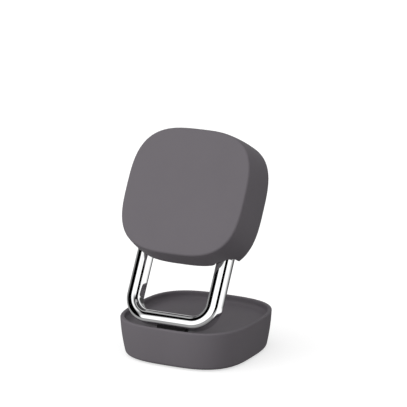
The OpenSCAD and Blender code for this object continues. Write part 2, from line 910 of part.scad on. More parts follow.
// Tray behind the face that holds the coil and the magnets, with posts for the board
module coil_carrier() {
    color("#d8d8d4")
        in_pad_frame()
            difference() {
                union() {
                    translate([0, 0, -carrier_back])
                        cylinder(r = carrier_r, h = carrier_back - pad_face, $fn = 96);
                    four_corners(pad_board_w / 2 - 4, pad_board_h / 2 - 4)
                        translate([0, pad_board_y, -pad_board_front])
                            cylinder(r = pad_post_r, h = pad_board_front - carrier_back + 0.5);
                }
                // Seat of the coil and its ferrite
                translate([0, 0, -carrier_back + 0.8])
                    cylinder(r = coil_seat_r, h = carrier_back, $fn = 96);
                // Seat of the magnets
                translate([0, 0, -pad_face - magnet_t - 0.1])
                    rotate_extrude($fn = 96)
                        translate([ring_r - magnet_w - seat_gap, 0])
                            square([magnet_w + 2 * seat_gap, carrier_back]);
                both_sides(block_screw_x)
                    translate([0, block_screw_y, -carrier_back - cut])
                        cylinder(r = boss_r + run_gap, h = carrier_back + cut);
                both_sides(pad_screw_x)
                    translate([0, pad_screw_y, -carrier_back - cut])
                        cylinder(r = boss_r + run_gap, h = carrier_back + cut);
            }
}

module charging_coil() {
    color("#b5713a")
        in_pad_frame()
            translate([0, 0, -pad_face - 0.1])
                flat_coil(wound_r, coil_wire_r, coil_turns);
}

module coil_ferrite() {
    front = pad_face + 0.1 + 2 * coil_wire_r;
    color("#3b3b3e")
        in_pad_frame()
            translate([0, 0, -carrier_back + 0.8])
                cylinder(r = coil_seat_r - run_gap, h = carrier_back - 0.8 - front, $fn = 96);
}

// Ring of short arc magnets that holds the phone
module magnet_ring() {
    pitch = 360 / magnet_count;
    gap = 0.6;
    color("#a8abb0")
        in_pad_frame()
            for (i = [0:magnet_count - 1])
                rotate([0, 0, pitch * i])
                    translate([0, 0, -pad_face - magnet_t])
                        rotate_extrude(angle = pitch - gap, $fn = 96)
                            translate([ring_r - magnet_w, 0])
                                square([magnet_w, magnet_t]);
}

module pad_circuit_board() {
    color("#1f5a3c")
        in_pad_frame()
            translate([0, pad_board_y, -pad_board_front - board_t]) {
                translate([-pad_board_w / 2, -pad_board_h / 2, 0])
                    cube([pad_board_w, pad_board_h, board_t]);
                // Controller and capacitors, on the side of the back cover
                translate([-4, -3, -0.9])
                    cube([7, 7, 0.9]);
                for (i = [0:3])
                    translate([9, -9 + 5 * i, -0.9])
                        cube([3.4, 2.4, 0.9]);
            }
}

module pad_screws() {
    color("#70737a")
        in_pad_frame() {
            both_sides(pad_screw_x)
                translate([0, pad_screw_y, -cover_back])
                    rotate([180, 0, 0])
                        screw(cover_t + 4);
            both_sides(block_screw_x)
                translate([0, block_screw_y, -mouth_depth])
                    rotate([180, 0, 0])
                        screw(mouth_depth - pocket_floor + cover_t + block_pilot_l);
        }
}

base_shell();
base_bottom_plate();
foot_pad();
ballast_plate();
base_circuit_board();
usb_c_socket();
usb_c_tongue();
earbud_coil();
earbud_ferrite();
hinge_bracket();
bracket_screws();
base_screws();
friction_washers();
hoop();
hinge_pin();
glide_pads();
pad_front_shell();
pad_back_cover();
guide_block();
keeper_plate();
keeper_screws();
brake_shoe_left();
brake_shoe_right();
brake_spring();
coil_carrier();
charging_coil();
coil_ferrite();
magnet_ring();
pad_circuit_board();
pad_screws();
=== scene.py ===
import json
import math

import bmesh
import bpy
import numpy as np
from mathutils import Matrix, Vector


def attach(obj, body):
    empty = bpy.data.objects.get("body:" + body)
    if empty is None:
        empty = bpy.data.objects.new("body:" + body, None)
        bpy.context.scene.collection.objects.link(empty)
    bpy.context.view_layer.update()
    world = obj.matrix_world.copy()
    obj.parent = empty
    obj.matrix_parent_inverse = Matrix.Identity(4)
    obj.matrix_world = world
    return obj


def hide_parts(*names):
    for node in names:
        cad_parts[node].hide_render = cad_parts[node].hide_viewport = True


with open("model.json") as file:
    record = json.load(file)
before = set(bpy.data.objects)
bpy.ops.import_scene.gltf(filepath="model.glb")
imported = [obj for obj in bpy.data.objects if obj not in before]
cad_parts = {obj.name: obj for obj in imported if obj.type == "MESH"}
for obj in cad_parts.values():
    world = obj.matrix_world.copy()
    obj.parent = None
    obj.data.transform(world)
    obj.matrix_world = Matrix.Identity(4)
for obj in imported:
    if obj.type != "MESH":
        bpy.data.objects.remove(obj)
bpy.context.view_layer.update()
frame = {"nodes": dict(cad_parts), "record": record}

MM = 0.001
IDENTITY = Matrix.Identity(4)
FLIP = Matrix.Rotation(math.pi, 4, "X")
ALONG_X = Matrix.Rotation(math.radians(90), 4, "Y")

# Soft light round the piece: degrees round from the front and up, and how bright
SOFT_LIGHTS = (
    (0, 90, 0.70),
    (-55, 35, 1.19),
    (60, 35, 0.87),
    (-35, -5, 0.94),
    (10, -5, 0.25),
)
SOFT_SHARPNESS = 4.0
# Half the floor's side in metres, its grey, how much that varies, and how much it glows by itself
FLOOR_HALF = 12
FLOOR_SHADE, FLOOR_VARIES, FLOOR_GLOW = 0.60, 0.005, 0.62
# Light or dark panels that the chrome mirrors, each laid over the ones before it: from and to
# degrees round from the front, from and to degrees up, how soft these edges are, and how bright
MIRROR_PANELS = (
    (-400, 400, -100, 54, 3, 2, 0.06),
    (-400, 400, 54.5, 66, 3, 2, 0.42),
    (-400, 400, 66, 100, 3, 2, 0.04),
    (-400, -72, -30, 50, 4, 5, 0.27),
    (-150, 150, -100, -2, 3, 5, 0.38),
    (-150, 150, -100, -40, 3, 8, 0.25),
    (106, 154.5, -40, 25, 3, 5, 1.15),
    (150, 400, 5, 34, 5, 6, 0.9),
    (-400, -150, 5, 34, 5, 6, 0.9),
    (-70, 106, -2, 54, 3, 2.5, 0.0),
    (-33.5, 35, 4, 43, 1.5, 8, 1.25),
)

# Sizes shared with the part's source, in millimetres
BASE_W, BASE_H = 68.0, 19.9
SQUARENESS = 3.1
BASE_TAPER, BASE_BELLY = 0.7, 1.85
BASE_EDGE_R, BASE_WALL = 1.8, 2.0
RIM_W, RIM_R = 2.0, 0.8
DISH_DEPTH, DISH_COVE_R, DISH_FLOOR = 3.7, 1.8, 1.3
SHELL_LIFT, FOOT_T, FOOT_INSET, PLATE_T = 0.5, 1.0, 4.0, 1.2
HINGE_Y, HINGE_Z, LEAN = -25.4, 21.7, math.radians(29.3)
KNUCKLE_R, KNUCKLE_L, NECK_T = 3.0, 16.0, 3.0
BRACKET_Z, BRACKET_T, BRACKET_W, BRACKET_D = 11.9, 1.6, 30.0, 9.0
PIN_R, PIN_GAP = 1.25, 0.04
HOOP_W, HOOP_L, HOOP_CORNER_R = 50.1, 52.4, 10.0
BAR_T, BAR_D, BAR_EDGE_R, HINGE_OFFSET = 6.65, 9.3, 2.2, 2.2
PAD_W, PAD_H, PAD_T, PAD_BELLY = 67.4, 66.6, 21.2, 1.55
PAD_EDGE_R, PAD_WALL, PAD_FACE = 0.9, 1.8, 1.6
PAD_RAISE, FACE_TO_HOOP, MOUTH_DEPTH, TRAVEL = 60.95, 16.7, 14.0, 21.5
COVER_T, COVER_SINK, KEEPER_T = 1.2, 0.6, 1.2
RUN_GAP, SEAT_GAP, NOSE_GAP = 0.3, 0.15, 0.4
SCREW_R, SCREW_HEAD_R, SCREW_HEAD_H = 0.8, 1.5, 0.8
SCREW_HOLE_R = SCREW_R + SEAT_GAP
GLIDE_D = 3.0
SOCKET_W, SOCKET_H, SOCKET_L, SOCKET_SHEET, SOCKET_Z = 8.94, 3.26, 7.4, 0.3, 10.03
BASE_SCREW_AT, BASE_SCREW_HOLE_R, BASE_SCREW_L = 22.0, 1.65, 6.2
BOSS_R, BOSS_FOOT_Z = 2.2, 2.2
POST_X, POST_Y, POST_R, POST_TOP = 14.0, 16.0, 2.2, 7.2
BRACKET_SCREW_X = 12.0
PIN_HALF_L = 13.2

# Points round the large outlines
FINE, MEDIUM = 288, 240

# The camera that was fitted to the photograph: its turn and tilt in degrees, its distance in
# metres, pixels in a metre, and where a point on the piece's axis at that height lies, in pixels
CAMERA_TURN, CAMERA_TILT = 27.147, 14.520
CAMERA_FAR, CAMERA_SCALE = 1.2098, 2.0291 / MM
PHOTO_SIZE, AXIS_PX, AXIS_PY, AXIS_Z = 407, 196.33, 272.33, 0.040

ARM_X = (HOOP_W - BAR_T) / 2
ARM_IN_X = HOOP_W / 2 - BAR_T
POCKET_X = HOOP_W / 2 + 1.55
BAR_NOSE = FACE_TO_HOOP - BAR_D / 2
BAR_BACK = FACE_TO_HOOP + BAR_D / 2
POCKET_FLOOR = BAR_NOSE - NOSE_GAP
RAISED_BAR_Y = HOOP_L - PAD_RAISE
POCKET_TOP = RAISED_BAR_Y + TRAVEL + BAR_T / 2 + 0.5
POCKET_CORNER_R = HOOP_CORNER_R + BAR_T / 2 + 0.4
COVER_BACK = PAD_T - COVER_SINK
INNER_W, INNER_H = PAD_W / 2 - PAD_WALL, PAD_H / 2 - PAD_WALL
FLOOR_Z = BASE_H - DISH_DEPTH
CEILING_Z = FLOOR_Z - DISH_FLOOR
MOUTH_IN_X = ARM_IN_X - NOSE_GAP
BLOCK_X = ARM_IN_X - RUN_GAP
BLOCK_TOP = RAISED_BAR_Y - BAR_T / 2 - RUN_GAP
BLOCK_BOTTOM = -(INNER_H - 0.8)
BLOCK_CORNER_R = HOOP_CORNER_R - BAR_T / 2 - RUN_GAP
KEEPER_FRONT = BAR_BACK + RUN_GAP
KEEPER_X = ARM_X + BAR_T / 2 - 1
KEEPER_BOTTOM = BLOCK_BOTTOM + 4
KEEPER_Y = (KEEPER_BOTTOM + BLOCK_TOP) / 2
KEEPER_SCREW_X, BLOCK_SCREW_X = 9.0, 12.0
BLOCK_SCREW_Y = BLOCK_BOTTOM + 2.2
PAD_SCREW_X, PAD_SCREW_Y = INNER_W - 8, INNER_H - 8
BRAKE_SLOT_Y = (BLOCK_BOTTOM + BLOCK_TOP) / 2 - 0.4

HOOP_FRAME = Matrix((
    (1, 0, 0, 0),
    (0, math.sin(LEAN), -math.cos(LEAN), HINGE_Y),
    (0, math.cos(LEAN), math.sin(LEAN), HINGE_Z),
    (0, 0, 0, 1)))
PAD_FRAME = HOOP_FRAME @ Matrix.Translation((0, PAD_RAISE, HINGE_OFFSET + FACE_TO_HOOP))


# Shapes
def soft_square(w, d, n):
    """Outline of a square with soft corners, from its two half widths."""
    a = np.linspace(0, 2 * math.pi, n, endpoint=False)
    r = (np.abs(np.cos(a) / w) ** SQUARENESS + np.abs(np.sin(a) / d) ** SQUARENESS) ** (-1 / SQUARENESS)
    return np.column_stack([r * np.cos(a), r * np.sin(a)])


def soft_outline(half_w, half_d, n=MEDIUM):
    return [tuple(p) for p in soft_square(half_w, half_d, n)]


def arc(cx, cy, r, a0, a1, n):
    """Points of an arc from a0 to a1, in degrees."""
    return [(cx + r * math.cos(math.radians(a0 + (a1 - a0) * i / n)),
             cy + r * math.sin(math.radians(a0 + (a1 - a0) * i / n))) for i in range(n + 1)]


def base_in(z):
    """How far the base's side lies inside its full width at height z."""
    u = 1 - z / BASE_H
    return BASE_TAPER * u + BASE_BELLY * u * u


def base_rim(z, inset):
    return (BASE_W / 2 - base_in(z) - inset, BASE_W / 2 - base_in(z) - inset, z)


def pad_in(s):
    """How far the pad's side lies inside its full width at depth s behind the face."""
    u = 1 - s / PAD_T
    return PAD_BELLY * u * u


def pad_rim(s, inset):
    return (PAD_W / 2 - pad_in(s) - inset, PAD_H / 2 - pad_in(s) - inset, -s)


def quarter(inset, z, r, a0, a1, n):
    """Part of a rounded edge as (inset, height) pairs, about the centre of its rounding."""
    return [(inset - r * math.cos(math.radians(a0 + (a1 - a0) * i / n)),
             z + r * math.sin(math.radians(a0 + (a1 - a0) * i / n))) for i in range(n + 1)]


def corners(x, y, z=0.0):
    """The four places at that distance from the middle."""
    return [(sx * x, sy * y, z) for sx in (-1, 1) for sy in (-1, 1)]


def pair(x, y, z=0.0):
    """The two places left and right of the middle."""
    return [(sx * x, y, z) for sx in (-1, 1)]


def make(name, verts, faces, where=None):
    """A mesh from points in millimetres, placed by a matrix that is in millimetres too."""
    me = bpy.data.meshes.new(name)
    me.from_pydata([tuple(v) for v in verts], [], faces)
    me.validate()
    bm = bmesh.new()
    bm.from_mesh(me)
    bmesh.ops.remove_doubles(bm, verts=bm.verts, dist=1e-5)
    bmesh.ops.recalc_face_normals(bm, faces=bm.faces)
    bm.to_mesh(me)
    bm.free()
    me.transform(Matrix.Scale(MM, 4) @ (where or IDENTITY))
    ob = bpy.data.objects.new(name, me)
    bpy.context.scene.collection.objects.link(ob)
    return ob


def put(ob, where):
    """Move a finished mesh into a frame that is given in millimetres."""
    ob.data.transform(Matrix.Scale(MM, 4) @ where @ Matrix.Scale(1 / MM, 4))
    return ob


def loft(name, rims, n):
    """A closed skin through soft squares, each given by its half widths and its height."""
    verts, faces = [], []
    for w, d, z in rims:
        verts += [(x, y, z) for x, y in soft_square(w, d, n)]
    faces.append(list(range(n)))
    faces.append([(len(rims) - 1) * n + i for i in range(n - 1, -1, -1)])
    for k in range(len(rims) - 1):
        for i in range(n):
            j = (i + 1) % n
            faces.append([k * n + i, (k + 1) * n + i, (k + 1) * n + j, k * n + j])
    return make(name, verts, faces)


def prism(name, outline, z0, z1, where=None, bevel=0.0, segments=3):
    """A plate of that outline, with its top and bottom edges rounded."""
    n = len(outline)
    verts = [(x, y, z0) for x, y in outline] + [(x, y, z1) for x, y in outline]
    faces = [list(range(n - 1, -1, -1)), list(range(n, 2 * n))]
    faces += [[i, (i + 1) % n, n + (i + 1) % n, n + i] for i in range(n)]
    ob = make(name, verts, faces)
    if bevel:
        bm = bmesh.new()
        bm.from_mesh(ob.data)
        flat = [e for e in bm.edges if len(e.link_faces) == 2
                and e.link_faces[0].normal.angle(e.link_faces[1].normal) > math.radians(50)]
        bmesh.ops.bevel(bm, geom=flat, offset=bevel * MM, segments=segments, profile=0.5,
                        affect="EDGES", clamp_overlap=True)
        bm.to_mesh(ob.data)
        bm.free()
    return put(ob, where) if where else ob


def lathe(name, profile, n=64, where=None):
    """A turned solid about Z from (radius, height) points, closed on the axis."""
    verts, faces = [], []
    for r, z in profile:
        for i in range(n):
            a = 2 * math.pi * i / n
            verts.append((r * math.cos(a), r * math.sin(a), z))
    for k in range(len(profile) - 1):
        for i in range(n):
            j = (i + 1) % n
            faces.append([k * n + i, k * n + j, (k + 1) * n + j, (k + 1) * n + i])
    faces.append(list(range(n - 1, -1, -1)))
    faces.append([(len(profile) - 1) * n + i for i in range(n)])
    return make(name, verts, faces, where)


def rounded_box(sx, sy, r, cx=0.0, cy=0.0, n=8):
    """Outline of a rectangle with round corners."""
    x, y = sx / 2 - r, sy / 2 - r
    return (arc(cx + x, cy + y, r, 0, 90, n) + arc(cx - x, cy + y, r, 90, 180, n)
            + arc(cx - x, cy - y, r, 180, 270, n) + arc(cx + x, cy - y, r, 270, 360, n))


def stadium(length, width, n=24):
    """Slot outline along X, centred, with round ends."""
    r, x = width / 2, (length - width) / 2
    return arc(x, 0, r, -90, 90, n) + arc(-x, 0, r, 90, 270, n)


def cut(ob, *cutters, mode="DIFFERENCE"):
    """Cut other meshes out of a mesh, or unite it with them, and use them up."""
    for c in cutters:
        m = ob.modifiers.new("cut", "BOOLEAN")
        m.operation, m.solver, m.object = mode, "EXACT", c
        dg = bpy.context.evaluated_depsgraph_get()
        new = bpy.data.meshes.new_from_object(ob.evaluated_get(dg))
        ob.modifiers.clear()
        old, ob.data = ob.data, new
        bpy.data.meshes.remove(old)
        bpy.data.objects.remove(c)
    return ob


def holes(ob, places, z0, z1, r, n=40):
    """Round holes along Z through a mesh, before it is put in its frame."""
    for x, y, _ in places:
        cut(ob, lathe("hole", [(r, z0), (r, z1)], n, Matrix.Translation((x, y, 0))))
    return ob


def join(name, *obs):
    """One piece from several meshes."""
    bm = bmesh.new()
    for o in obs:
        me = o.data.copy()
        me.transform(o.matrix_world)
        bm.from_mesh(me)
        bpy.data.meshes.remove(me)
        bpy.data.objects.remove(o)
    me = bpy.data.meshes.new(name)
    bm.to_mesh(me)
    bm.free()
    ob = bpy.data.objects.new(name, me)
    bpy.context.scene.collection.objects.link(ob)
    return ob


def smooth(ob, angle=32):
    for p in ob.data.polygons:
        p.use_smooth = True
    ob.data.set_sharp_from_angle(angle=math.radians(angle))
    return ob


# Materials
def nodes_of(name):
    """A new material, its node tree, its shader and the object's own coordinates."""
    m = bpy.data.materials.new(name)
    m.use_nodes = True
    nt = m.node_tree
    nt.nodes.clear()
    out = nt.nodes.new("ShaderNodeOutputMaterial")
    p = nt.nodes.new("ShaderNodeBsdfPrincipled")
    nt.links.new(p.outputs["BSDF"], out.inputs["Surface"])
    tc = nt.nodes.new("ShaderNodeTexCoord")
    return m, nt, p, tc.outputs["Object"]


def noise(nt, coord, scale, detail=2.0, rough=0.5):
    n = nt.nodes.new("ShaderNodeTexNoise")
    n.inputs["Scale"].default_value = scale
    n.inputs["Detail"].default_value = detail
    n.inputs["Roughness"].default_value = rough
    nt.links.new(coord, n.inputs["Vector"])
    return n.outputs["Fac"]


def ramp(nt, fac, stops):
    r = nt.nodes.new("ShaderNodeValToRGB")
    els = r.color_ramp.elements
    while len(els) < len(stops):
        els.new(0.5)
    for e, (pos, c) in zip(els, stops):
        e.position = pos
        e.color = (*c, 1) if len(c) == 3 else c
    nt.links.new(fac, r.inputs["Fac"])
    return r.outputs["Color"]


def span(nt, fac, low, high):
    m = nt.nodes.new("ShaderNodeMapRange")
    m.inputs["To Min"].default_value = low
    m.inputs["To Max"].default_value = high
    nt.links.new(fac, m.inputs["Value"])
    return m.outputs["Result"]


def bump(nt, p, height, strength, distance):
    b = nt.nodes.new("ShaderNodeBump")
    b.inputs["Strength"].default_value = strength
    b.inputs["Distance"].default_value = distance
    nt.links.new(height, b.inputs["Height"])
    nt.links.new(b.outputs["Normal"], p.inputs["Normal"])


def shade(c, k):
    return tuple(x * k for x in c)


def mix_noise(nt, a, b, share):
    m = nt.nodes.new("ShaderNodeMath")
    m.operation = "MULTIPLY_ADD"
    m.inputs[1].default_value = share
    nt.links.new(a, m.inputs[0])
    nt.links.new(b, m.inputs[2])
    return m.outputs[0]


def soft_touch(name, colour, rough=0.62, grain=1.0, spec=0.35, vary=0.035):
    """Soft-touch coat: even, matte and slightly velvety, with a very fine grain."""
    m, nt, p, co = nodes_of(name)
    broad = noise(nt, co, 45, 3)
    fine = noise(nt, co, 5200, 2, 0.6)
    both = mix_noise(nt, broad, fine, 0.8)
    tones = [(0.55, shade(colour, 1 - vary)), (1.2, shade(colour, 1 + vary))]
    nt.links.new(ramp(nt, both, tones), p.inputs["Base Color"])
    nt.links.new(span(nt, noise(nt, co, 900, 3), rough - 0.05, rough + 0.05), p.inputs["Roughness"])
    p.inputs["Specular IOR Level"].default_value = spec
    bump(nt, p, fine, 0.10 * grain, 0.00003)
    return m


def plastic(name, colour, rough=0.5, spec=0.4, grain=0.12, scale=3200):
    """Moulded plastic, paint or rubber with a fine grain."""
    m, nt, p, co = nodes_of(name)
    fine = noise(nt, co, scale, 2, 0.6)
    tones = [(0.3, shade(colour, 0.94)), (0.75, shade(colour, 1.06))]
    nt.links.new(ramp(nt, noise(nt, co, 130, 3), tones), p.inputs["Base Color"])
    nt.links.new(span(nt, noise(nt, co, 700, 2), rough - 0.05, rough + 0.06), p.inputs["Roughness"])
    p.inputs["Specular IOR Level"].default_value = spec
    bump(nt, p, fine, grain, 0.00004)
    return m


def metal(name, colour, rough, grain=(1, 1, 1), scale=900, depth=0.03, vary=0.05):
    """Bare or plated metal, with its grain stretched by the three scale factors."""
    m, nt, p, co = nodes_of(name)
    mp = nt.nodes.new("ShaderNodeMapping")
    mp.inputs["Scale"].default_value = grain
    nt.links.new(co, mp.inputs["Vector"])
    fine = noise(nt, mp.outputs["Vector"], scale, 3, 0.6)
    tones = [(0.3, shade(colour, 1 - vary)), (0.75, shade(colour, 1 + vary))]
    nt.links.new(ramp(nt, noise(nt, co, 90, 3), tones), p.inputs["Base Color"])
    nt.links.new(span(nt, fine, rough * 0.8, rough * 1.25), p.inputs["Roughness"])
    p.inputs["Metallic"].default_value = 1.0
    bump(nt, p, fine, depth, 0.00002)
    return m


def copper(name):
    """Enamelled copper wire."""
    m, nt, p, co = nodes_of(name)
    fine = noise(nt, co, 1500, 2)
    tones = [(0.3, (0.42, 0.15, 0.05)), (0.7, (0.62, 0.27, 0.10))]
    nt.links.new(ramp(nt, fine, tones), p.inputs["Base Color"])
    nt.links.new(span(nt, fine, 0.22, 0.34), p.inputs["Roughness"])
    p.inputs["Metallic"].default_value = 0.85
    p.inputs["Coat Weight"].default_value = 0.5
    bump(nt, p, fine, 0.04, 0.00002)
    return m


def board(name):
    """Green solder mask with faint copper tracks under it."""
    m, nt, p, co = nodes_of(name)
    w = nt.nodes.new("ShaderNodeTexBrick")
    w.inputs["Scale"].default_value = 420
    w.inputs["Mortar Size"].default_value = 0.06
    w.inputs["Color1"].default_value = (0.010, 0.085, 0.035, 1)
    w.inputs["Color2"].default_value = (0.012, 0.105, 0.045, 1)
    w.inputs["Mortar"].default_value = (0.035, 0.17, 0.07, 1)
    nt.links.new(co, w.inputs["Vector"])
    nt.links.new(w.outputs["Color"], p.inputs["Base Color"])
    nt.links.new(span(nt, noise(nt, co, 800, 2), 0.25, 0.4), p.inputs["Roughness"])
    bump(nt, p, w.outputs["Fac"], 0.1, 0.00002)
    return m


BODY_GREY = (0.150, 0.137, 0.152)
M = {
    "pad_soft_touch": soft_touch("pad_soft_touch", BODY_GREY),
    "base_soft_touch": soft_touch("base_soft_touch", BODY_GREY),
    "cover_plastic": plastic("cover_plastic", (0.105, 0.096, 0.106), 0.55),
    "dark_plastic": plastic("dark_plastic", (0.045, 0.042, 0.046), 0.5),
    "black_plastic": plastic("black_plastic", (0.014, 0.014, 0.015), 0.35),
    "white_plastic": plastic("white_plastic", (0.70, 0.70, 0.66), 0.5),
    "shoe_plastic": plastic("shoe_plastic", (0.58, 0.46, 0.26), 0.45),
    "foot_rubber": plastic("foot_rubber", (0.028, 0.028, 0.030), 0.8, 0.25, 0.35, 1800),
    "hoop_chrome": metal("hoop_chrome", (0.90, 0.905, 0.91), 0.025, scale=500, depth=0.002, vary=0.01),
    "black_metal": plastic("black_metal", (0.060, 0.056, 0.060), 0.5, 0.4, 0.08, 2600),
    "plain_steel": metal("plain_steel", (0.50, 0.50, 0.51), 0.35, (6, 1, 6)),
    "screw_steel": metal("screw_steel", (0.26, 0.26, 0.27), 0.34),
    "spring_steel": metal("spring_steel", (0.42, 0.42, 0.43), 0.28, (1, 6, 6)),
    "socket_steel": metal("socket_steel", (0.62, 0.63, 0.65), 0.2, (1, 1, 5)),
    "magnet_nickel": metal("magnet_nickel", (0.55, 0.55, 0.56), 0.22),
    "washer_brass": metal("washer_brass", (0.62, 0.45, 0.20), 0.3),
    "copper_wire": copper("copper_wire"),
    "ferrite": plastic("ferrite", (0.05, 0.05, 0.052), 0.55, 0.5, 0.2, 2400),
    "circuit_board": board("circuit_board"),
}
for sub in frame["record"]["subparts"]:
    ob = frame["nodes"][sub["node"]]
    ob.data.materials.clear()
    ob.data.materials.append(M[sub["material_slot"]])


def piece(ob, body, slot, *nodes):
    """Give a mesh its material, tie it to a body and let it stand for CAD nodes."""
    ob.data.materials.clear()
    ob.data.materials.append(M[slot])
    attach(ob, body)
    if nodes:
        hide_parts(*nodes)
    return ob


# Base shell
SIDE_Z = SHELL_LIFT + BASE_EDGE_R
RIM_Z = BASE_H - RIM_R
DISH_HALF = BASE_W / 2 - RIM_W
rims = [base_rim(CEILING_Z, BASE_WALL), base_rim(SHELL_LIFT + 0.6, BASE_WALL)]
rims += [base_rim(z, i) for i, z in quarter(BASE_EDGE_R, SIDE_Z, BASE_EDGE_R, -90, 0, 12)]
rims += [base_rim(SIDE_Z + (RIM_Z - SIDE_Z) * i / 20, 0) for i in range(1, 20)]
rims += [base_rim(z, i) for i, z in quarter(RIM_R, RIM_Z, RIM_R, 0, 90, 8)]
rims += [(DISH_HALF + i, DISH_HALF + i, z) for i, z in quarter(RIM_R, RIM_Z, RIM_R, 90, 0, 8)]
rims += [(DISH_HALF - i, DISH_HALF - i, z)
         for i, z in quarter(DISH_COVE_R, FLOOR_Z + DISH_COVE_R, DISH_COVE_R, 0, -90, 10)]
base = loft("base_shell_skin", rims, FINE)
NECK_SLOT = rounded_box(KNUCKLE_L + 2 * SEAT_GAP, NECK_T + 2 * SEAT_GAP, 0.3, 0, HINGE_Y)
AT_SOCKET = (Matrix.Translation((0, base_rim(SOCKET_Z, 0)[1] - 0.4, SOCKET_Z))
             @ Matrix.Rotation(math.radians(90), 4, "X"))
socket_hole = stadium(SOCKET_W + 2 * SEAT_GAP, SOCKET_H + 2 * SEAT_GAP)
cut(base, prism("slot_cut", NECK_SLOT, CEILING_Z - 4, FLOOR_Z + 2),
    prism("socket_cut", socket_hole, -3, 5, AT_SOCKET))
# Seat block and screw bosses under the dish's floor
FLANGE_Y = HINGE_Y + BRACKET_D / 2 - NECK_T
seat = prism("seat_block", rounded_box(BRACKET_W, BRACKET_D, 0.5, 0, FLANGE_Y),
             BRACKET_Z, CEILING_Z + 0.4, None, 0.3)
cut(seat, prism("slot_cut", NECK_SLOT, BRACKET_Z - 1, FLOOR_Z + 2))
boss = [(SCREW_R, BOSS_FOOT_Z), (BOSS_R - 0.2, BOSS_FOOT_Z), (BOSS_R, BOSS_FOOT_Z + 0.2),
        (BOSS_R, CEILING_Z + 0.3), (SCREW_R, CEILING_Z + 0.3)]
bosses = [lathe("boss", boss, 32, Matrix.Translation(p)) for p in corners(BASE_SCREW_AT, BASE_SCREW_AT)]
base = join("base_shell_skin", base, seat, *bosses)
piece(smooth(base), "base", "base_soft_touch", "base_shell")

# Underside
plate_half = base_rim(SHELL_LIFT, BASE_WALL + SEAT_GAP)[0]
plate = prism("bottom_plate_skin", soft_outline(plate_half, plate_half, 192), FOOT_T, FOOT_T + PLATE_T,
              None, 0.2)
post = [(POST_R, FOOT_T + PLATE_T - 0.1), (POST_R, POST_TOP), (0.1, POST_TOP)]
posts = [lathe("post", post, 24, Matrix.Translation(p)) for p in corners(POST_X, POST_Y)]
plate = join("bottom_plate_skin", plate, *posts)
piece(smooth(plate), "base", "dark_plastic", "base_bottom_plate")

foot_half = base_rim(SHELL_LIFT, FOOT_INSET)[0]
foot = prism("foot_pad_skin", soft_outline(foot_half, foot_half, 192), 0, FOOT_T, None, 0.25)
holes(foot, corners(BASE_SCREW_AT, BASE_SCREW_AT), -1, 2, BASE_SCREW_HOLE_R)
piece(smooth(foot), "base", "foot_rubber", "foot_pad")


def screw_mesh(name, shank, where):
    """Pan-head screw with a cross recess, standing on z = 0 with its head above."""
    r, h = SCREW_HEAD_R, SCREW_HEAD_H
    head = [(SCREW_R * 0.5, -shank), (SCREW_R, -shank + 0.7), (SCREW_R, 0), (r * 0.97, 0), (r, 0.05)]
    head += [(r - 0.55 * (1 - math.cos(math.radians(a))), h * 0.35 + (h * 0.65) * math.sin(math.radians(a)))
             for a in range(0, 91, 10)]
    ob = lathe(name, head, 48)
    for turn in (45, 135):
        slot = rounded_box(1.5, 0.34, 0.1)
        cut(ob, prism("c", slot, h * 0.35, h + 1, Matrix.Rotation(math.radians(turn), 4, "Z")))
    return put(ob, where)


def screws(name, body, node, parent, *rows):
    """Screws with their heads towards -Z of the parent frame, in rows of a shank and its places."""
    made = [screw_mesh(name, shank, parent @ Matrix.Translation(p) @ FLIP)
            for shank, places in rows for p in places]
    return piece(smooth(join(name, *made), 30), body, "screw_steel", node)


screws("base_screw_heads", "base", "base_screws", IDENTITY,
       (BASE_SCREW_L, corners(BASE_SCREW_AT, BASE_SCREW_AT, FOOT_T)))

# USB-C inlet
SOCKET_BACK = SOCKET_L - SOCKET_SHEET
TONGUE_W = SOCKET_W - SOCKET_H + 0.9
CONTACTS, CONTACT_PITCH = 12, 0.5
shell = prism("usb_c_shell", stadium(SOCKET_W, SOCKET_H), 0, SOCKET_L, None, 0.08, 2)
cut(shell, prism("c", stadium(SOCKET_W - 2 * SOCKET_SHEET, SOCKET_H - 2 * SOCKET_SHEET), -1, SOCKET_BACK))
piece(smooth(put(shell, AT_SOCKET)), "base", "socket_steel", "usb_c_socket")
tongue = prism("tongue", rounded_box(TONGUE_W, 0.7, 0.2), 0.7, SOCKET_BACK, AT_SOCKET, 0.08, 2)
heel = prism("heel", rounded_box(TONGUE_W, 1.8, 0.2), SOCKET_BACK - 1.5, SOCKET_BACK, AT_SOCKET, 0.1, 2)
piece(smooth(join("usb_c_tongue_skin", tongue, heel)), "base", "black_plastic", "usb_c_tongue")
contacts = []
for side in (-1, 1):
    for i in range(CONTACTS):
        x = (i - (CONTACTS - 1) / 2) * CONTACT_PITCH
        contacts.append(prism("pin", rounded_box(0.26, 0.06, 0.02, x, side * 0.36, 2), 1.0, 5.0, AT_SOCKET))
piece(smooth(join("usb_c_contacts", *contacts)), "base", "washer_brass")

# Hinge bracket
HINGE_AXIS = Matrix.Translation((0, HINGE_Y, HINGE_Z)) @ ALONG_X
bracket = prism("hinge_bracket_skin", arc(0, 0, KNUCKLE_R, 0, 360, 96)[:-1], -KNUCKLE_L / 2, KNUCKLE_L / 2,
                HINGE_AXIS, 0.25)
neck = prism("neck", rounded_box(KNUCKLE_L, NECK_T, 0.4, 0, HINGE_Y), BRACKET_Z - BRACKET_T + 0.2, HINGE_Z)
flange = prism("flange", rounded_box(BRACKET_W, BRACKET_D, 1.5, 0, FLANGE_Y),
               BRACKET_Z - BRACKET_T, BRACKET_Z, None, 0.2)
cut(bracket, neck, flange, mode="UNION")
cut(bracket, lathe("bore", [(PIN_R + PIN_GAP, -10), (PIN_R + PIN_GAP, 10)], 48, HINGE_AXIS))
piece(smooth(bracket), "base", "black_metal", "hinge_bracket")


